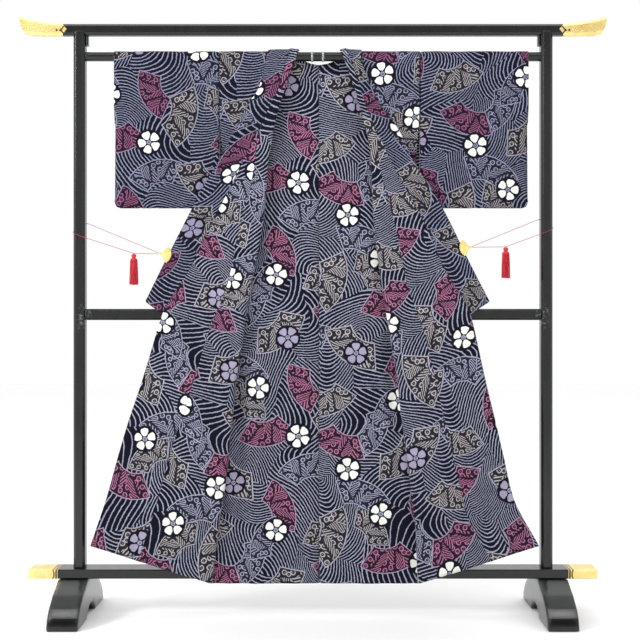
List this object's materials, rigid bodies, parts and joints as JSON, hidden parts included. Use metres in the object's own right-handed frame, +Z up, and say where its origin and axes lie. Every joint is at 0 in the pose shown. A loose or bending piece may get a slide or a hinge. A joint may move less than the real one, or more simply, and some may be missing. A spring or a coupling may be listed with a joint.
{
  "type": "cotton yukata robe on a kimono rack",
  "caption": "Unlined cotton yukata hung open over the bar of a lacquered robe rack, fronts turned out like wide lapels and held by gilt clips on red tasselled cords.",
  "frame": {"origin": "on the floor, midway between the rack's feet", "axes": "+Z up, +X to the right of a viewer who faces the open front of the robe, +Y away from that viewer"},
  "size_m": [1.788, 0.3634, 1.8195],
  "materials": {
    "cotton_outside": "dyed indigo cotton, right side",
    "cotton_inside": "dyed indigo cotton, wrong side",
    "lacquer": "black lacquered wood, satin gloss",
    "gilt": "gilt",
    "clear_plastic": "clear",
    "red_silk": "twisted red silk"
  },
  "bodies": {
    "root": {"back_left": "cotton_outside", "back_right": "cotton_outside", "front_left": "cotton_inside", "front_right": "cotton_inside", "okumi_left": "cotton_inside", "okumi_right": "cotton_inside", "collar_left": "cotton_outside", "collar_right": "cotton_outside", "sleeve_left": "cotton_outside", "sleeve_right": "cotton_outside", "foot_left": "lacquer", "foot_right": "lacquer", "bottom_board": "lacquer", "board_cap_left": "gilt", "board_cap_right": "gilt", "post_left": "lacquer", "post_right": "lacquer", "middle_rail": "lacquer", "hanging_bar": "lacquer", "bracket_left": "lacquer", "bracket_right": "lacquer", "top_beam": "lacquer", "beam_tip_left": "gilt", "beam_tip_right": "gilt", "bar_ring_1": "clear_plastic", "bar_ring_2": "clear_plastic", "clip_left": "gilt", "clip_right": "gilt", "cord_left": "red_silk", "cord_right": "red_silk", "tassel_left": "red_silk", "tassel_right": "red_silk"}
  },
  "joints": []
}
